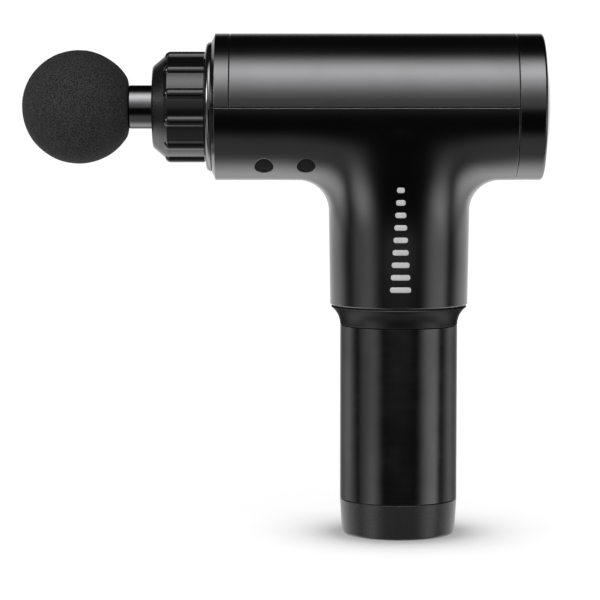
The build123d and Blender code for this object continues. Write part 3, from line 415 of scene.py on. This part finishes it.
SLOT_FINISH = {
    "casing": casing,
    "ring_metal": ring_finish,
    "gloss_trim": trim,
    "lens_tint": lens,
    "tube_skin": tube_skin,
    "cap_plastic": cap_plastic,
    "inner_plastic": inner_plastic,
    "slide_plastic": slide_plastic,
    "black_rubber": rubber,
    "ball_foam": foam,
    "plunger_metal": plunger_metal,
    "cast_alloy": cast_alloy,
    "machined_steel": steel,
    "lamination_steel": lamination,
    "magnet": magnet,
    "copper": copper,
    "contact_gold": contact_gold,
    "bronze": bronze,
    "board": board,
    "wire_jacket": wire_jacket,
    "cell_sleeve": wrap,
    "holder_plastic": holder_plastic,
    "nickel": nickel,
}
NODE_FINISH = {"nose_collar": collar, "battery_neck": neck_finish, "main_body": shell}

for entry in frame["record"]["subparts"]:
    finish = NODE_FINISH.get(entry["node"], SLOT_FINISH[entry["material_slot"]])
    for slot in nodes[entry["node"]].material_slots:
        slot.material = finish


# ---------------------------------------------------------------- mesh helpers
def new_piece(name, mesh_builder, material):
    """An object from a bmesh, shaded smooth."""
    mesh = bpy.data.meshes.new(name)
    mesh_builder.normal_update()
    mesh_builder.to_mesh(mesh)
    mesh_builder.free()
    mesh.shade_smooth()
    mesh.materials.append(material)
    piece = bpy.data.objects.new(name, mesh)
    bpy.context.scene.collection.objects.link(piece)
    return piece


def surface_of(node):
    """A node's surface, for laying print on it."""
    return BVHTree.FromObject(nodes[node], bpy.context.evaluated_depsgraph_get())


def laid_on(surface, rows, toward, thickness):
    """A thin closed patch printed on a surface.

    The rows are a grid of points in front of the surface. Each point is carried along the direction
    until it meets the surface. The patch stands proud of it by its thickness and reaches as far under.
    """
    patch = bmesh.new()
    tops, feet = [], []
    for row in rows:
        hits = [surface.ray_cast(point, toward) for point in row]
        tops.append([patch.verts.new(hit + normal * thickness) for hit, normal, _, _ in hits])
        feet.append([patch.verts.new(hit - normal * thickness) for hit, normal, _, _ in hits])
    last_row, last = len(rows) - 1, len(rows[0]) - 1
    for i in range(last_row):
        for j in range(last):
            patch.faces.new((tops[i][j], tops[i][j + 1], tops[i + 1][j + 1], tops[i + 1][j]))
            patch.faces.new((feet[i + 1][j], feet[i + 1][j + 1], feet[i][j + 1], feet[i][j]))
    rim = [(0, j) for j in range(last)] + [(i, last) for i in range(last_row)]
    rim += [(last_row, j) for j in range(last, 0, -1)] + [(i, 0) for i in range(last_row, 0, -1)]
    for here, there in zip(rim, rim[1:] + rim[:1]):
        (i, j), (m, n) = here, there
        patch.faces.new((tops[i][j], feet[i][j], feet[m][n], tops[m][n]))
    bmesh.ops.recalc_face_normals(patch, faces=patch.faces[:])
    return patch


# ---------------------------------------------------------------- the foam ball
# Each lump's size as a noise scale over the ball's radius, where its noise starts, and its height.
LUMPS = [(2.3, (4.1, 0.3, 1.7), 0.10 * MM), (9.0, (0, 0, 0), 0.045 * MM), (34.0, (0, 0, 0), 0.022 * MM)]
LUMP_ROOM = 0.12 * MM  # keeps the lumps inside the moulded ball's radius
EDGE_ROUND = 0.8 * MM  # where the flat back meets the ball


def make_ball():
    """A cubed sphere with the moulded ball's flat back, its slight lumps and its rounded flat edge."""
    radius = (BALL_HIGH.z - BALL_LOW.z) / 2
    centre = Vector((BALL_LOW.x + radius, 0, (BALL_LOW.z + BALL_HIGH.z) / 2))
    edge_x = BALL_HIGH.x - EDGE_ROUND
    reach = centre.x + radius - edge_x
    ball = bmesh.new()
    bmesh.ops.create_cube(ball, size=2.0)
    bmesh.ops.subdivide_edges(ball, edges=ball.edges[:], cuts=63, use_grid_fill=True)
    for vert in ball.verts:
        ray = vert.co.normalized()
        lump = sum(noise.noise(ray * scale + Vector(start)) * height for scale, start, height in LUMPS)
        point = centre + ray * (radius - LUMP_ROOM + lump)
        over = point.x - edge_x
        if over > 0:
            point.x = edge_x + EDGE_ROUND * math.tanh(3.0 * over / reach)
        vert.co = point
    piece = new_piece("foam_ball", ball, foam)
    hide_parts("massage_ball")
    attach(piece, "head")


make_ball()


# ---------------------------------------------------------------- printed marks
IN_FRONT = -60 * MM  # a plane clear of the sleeve's near side
FAR_BEHIND = 120 * MM  # a plane clear of the rear lens
PRINT = 0.03 * MM  # thickness of the ink


def bar_grid(middle, half, z0, z1, corner):
    """Columns of points that fill a bar with rounded corners, in a plane in front of the sleeve."""
    columns, points, narrowest = 12, 4, 0.02 * MM
    rows = []
    for step in range(columns + 1):
        x = -half * math.cos(math.pi * step / columns)
        over = max(0.0, abs(x) - (half - corner))
        cut = corner - math.sqrt(max(corner**2 - over**2, 0.0))
        cut = min(cut, (z1 - z0) / 2 - narrowest)
        low, high = z0 + cut, z1 - cut
        heights = [low + (high - low) * k / points for k in range(points + 1)]
        rows.append([Vector((middle + x, IN_FRONT, height)) for height in heights])
    return rows


def make_level_mark():
    """A stepped scale of nine bars that widen from light to firm, printed down the sleeve."""
    body = surface_of("main_body")
    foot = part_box("main_body")[0].z + 7.0 * MM
    bar, pitch, count, middle, corner = 2.3 * MM, 5.2 * MM, 9, -0.3 * MM, 0.9 * MM
    narrowest_half, widening = 1.6 * MM, 0.35 * MM
    for index in range(count):
        half = narrowest_half + widening * (count - 1 - index)
        z0 = foot + index * pitch
        patch = laid_on(body, bar_grid(middle, half, z0, z0 + bar, corner), Vector((0, 1, 0)), PRINT)
        piece = new_piece(f"level_mark_{index + 1}", patch, ink)
        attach(piece, "housing")


def arc_grid(y, z, radius, width, start, end, steps):
    """Rows of points along an arc, in a plane behind the rear lens."""
    rows = []
    for step in range(steps + 1):
        turn = math.radians(start + (end - start) * step / steps)
        spots = [radius - width / 2 + width * k / 2 for k in range(3)]
        rows.append([Vector((FAR_BEHIND, y + r * math.sin(turn), z + r * math.cos(turn))) for r in spots])
    return rows


def make_lens_marks():
    """A standby ring and five level dots, printed in pale ink on the lens."""
    face = surface_of("touch_lens")
    forward = Vector((-1, 0, 0))
    line = 0.7 * MM
    ring = arc_grid(0, BARREL_Z + 3 * MM, 5.0 * MM, line, 32, 328, 48)
    across, up = (-line / 2, 0, line / 2), (4.4, 6.0, 7.6, 9.2)
    stroke = [[Vector((FAR_BEHIND, y, BARREL_Z + z * MM)) for y in across] for z in up]
    shapes = [ring, stroke]
    dots, dot_pitch, dot_z = 5, 4.5 * MM, BARREL_Z - 10 * MM
    for index in range(dots):
        y = dot_pitch * (index - dots // 2)
        shapes.append(arc_grid(y, dot_z, 0.62 * MM, 1.2 * MM, 0, 359.9, 20))
    for index, rows in enumerate(shapes):
        piece = new_piece(f"lens_mark_{index + 1}", laid_on(face, rows, forward, PRINT), ink)
        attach(piece, "housing")


make_level_mark()
make_lens_marks()


# ---------------------------------------------------------------- stage, lights and camera
def make_dome(radius):
    """A white shell that only the camera sees, so that every view has the same plain backdrop."""
    mesh = bmesh.new()
    bmesh.ops.create_icosphere(mesh, subdivisions=5, radius=radius)
    s = Shader("backdrop")
    white = s.finish(Base_Color=(0, 0, 0), Emission_Color=(1, 1, 1), Emission_Strength=1.0)
    dome = new_piece("backdrop", mesh, white)
    dome.visible_diffuse = False
    dome.visible_glossy = False
    dome.visible_transmission = False
    dome.visible_volume_scatter = False
    dome.visible_shadow = False


def make_floor(size):
    """A pale sheet that glows softly, with a painted contact shadow: it glows less where the gun stands close
    over it.
    """
    mesh = bmesh.new()
    bmesh.ops.create_grid(mesh, x_segments=1, y_segments=1, size=size)
    s = Shader("floor")
    paper = s.grain(60.0, 3.0, 0.5)
    tint = s.blend(paper, (0.11, 0.11, 0.11), (0.13, 0.13, 0.13))
    # painted contact shadow: the glow drops with ambient occlusion under and around the gun
    openness = s.node("ShaderNodeAmbientOcclusion", {"samples": 16}, {"Distance": 90 * MM}).outputs["AO"]
    shut, open_sky, painted_shadow_glow, full = 0.60, 0.94, 0.34, 0.92
    glow = s.spread(openness, shut, open_sky, painted_shadow_glow, full)
    material = s.finish(
        Base_Color=tint,
        Roughness=0.9,
        Specular_IOR_Level=0.1,
        Emission_Color=(1, 1, 1),
        Emission_Strength=glow,
    )
    floor = new_piece("floor", mesh, material)
    floor.visible_glossy = False


make_dome(6.0)
make_floor(5.5)


# Each soft light is a patch of sky: the pitch round the X axis from the camera's side (0 towards -Y,
# 90 overhead, -90 below) with its half width and softness, the side angle towards +X with its half
# width and softness, all in degrees, and the brightness.
SOFT_LIGHTS = [
    ((57, 18, 34), (0, 30, 24), 4.3),  # overhead front softbox
    ((28, 10, 20), (0, 26, 24), 0.6),  # its glow below
    ((18, 20, 10), (0, 26, 24), 0.42),  # and its spill down to the level seam
    ((-120, 20, 36), (0, 62, 30), 1.3),  # pale sweep behind and below
    ((-132, 38, 30), (0, 76, 20), 0.7),
    ((-70, 24, 22), (0, 40, 30), 0.3),
    ((-2, 44, 30), (-50, 9, 22), 0.52),  # left strip
    ((-2, 50, 30), (-72, 12, 24), 0.32),
    ((-2, 44, 30), (66, 20, 26), 0.8),  # right strip
    ((40, 20, 16), (-62, 10, 12), 9.0),  # small bright card, high on the left
    ((180, 22, 20), (0, 68, 24), 0.8),  # the wall behind
    ((-46, 22, 30), (-52, 10, 22), 1.3),  # the strips' feet, seen where the sleeve meets the barrel
    ((-46, 22, 30), (60, 14, 24), 1.1),
]
AMBIENT = 0.010  # what the rest of the sky gives


def make_world():
    world = bpy.data.worlds.new("studio")
    bpy.context.scene.world = world
    world.use_nodes = True
    tree = world.node_tree
    tree.nodes.clear()

    def node(kind, settings=None, inputs=None):
        made = tree.nodes.new(kind)
        for key, value in (settings or {}).items():
            setattr(made, key, value)
        for key, value in (inputs or {}).items():
            if isinstance(value, bpy.types.NodeSocket):
                tree.links.new(value, made.inputs[key])
            else:
                made.inputs[key].default_value = value
        return made

    def maths(operation, first, second=0.0):
        return node("ShaderNodeMath", {"operation": operation}, {0: first, 1: second}).outputs[0]

    toward = node("ShaderNodeTexCoord").outputs["Generated"]
    x, y, z = node("ShaderNodeSeparateXYZ", inputs={0: toward}).outputs
    pitch = maths("ARCTAN2", z, maths("MULTIPLY", y, -1.0))
    side = maths("ARCSINE", x)
    total = AMBIENT
    for pitch_shape, side_shape, bright in SOFT_LIGHTS:
        patch = bright
        for angle, (at, half, soft) in ((pitch, pitch_shape), (side, side_shape)):
            away = maths("ABSOLUTE", maths("SUBTRACT", angle, math.radians(at)))
            if angle is pitch:
                away = maths("PINGPONG", away, math.pi)
            edge = math.radians(soft) / 2
            ramp = node(
                "ShaderNodeMapRange",
                {"interpolation_type": "SMOOTHSTEP"},
                {
                    "Value": away,
                    "From Min": math.radians(half) + edge,
                    "From Max": max(math.radians(half) - edge, 0.0),
                    "To Min": 0.0,
                    "To Max": 1.0,
                },
            ).outputs["Result"]
            patch = maths("MULTIPLY", ramp, patch)
        total = maths("ADD", total, patch)
    light = node("ShaderNodeBackground", inputs={"Color": (1, 1, 1, 1), "Strength": total})
    output = node("ShaderNodeOutputWorld")
    tree.links.new(light.outputs[0], output.inputs["Surface"])


def make_camera():
    """Square to the near side, just above the barrel's height and tilted down to the middle of the gun."""
    distance, pitch = 1150 * MM, math.radians(4.695)
    camera_data = bpy.data.cameras.new("camera")
    camera_data.sensor_width = 36.0
    camera_data.lens = 161.9
    camera_data.clip_start, camera_data.clip_end = 0.05, 50.0
    camera = bpy.data.objects.new("camera", camera_data)
    camera.location = (-42.2 * MM, -distance, BARREL_Z + 12.1 * MM)
    camera.rotation_euler = (math.radians(90) - pitch, 0, 0)
    bpy.context.scene.collection.objects.link(camera)
    bpy.context.scene.camera = camera


make_world()
make_camera()
bpy.context.scene.view_settings.view_transform = "Standard"
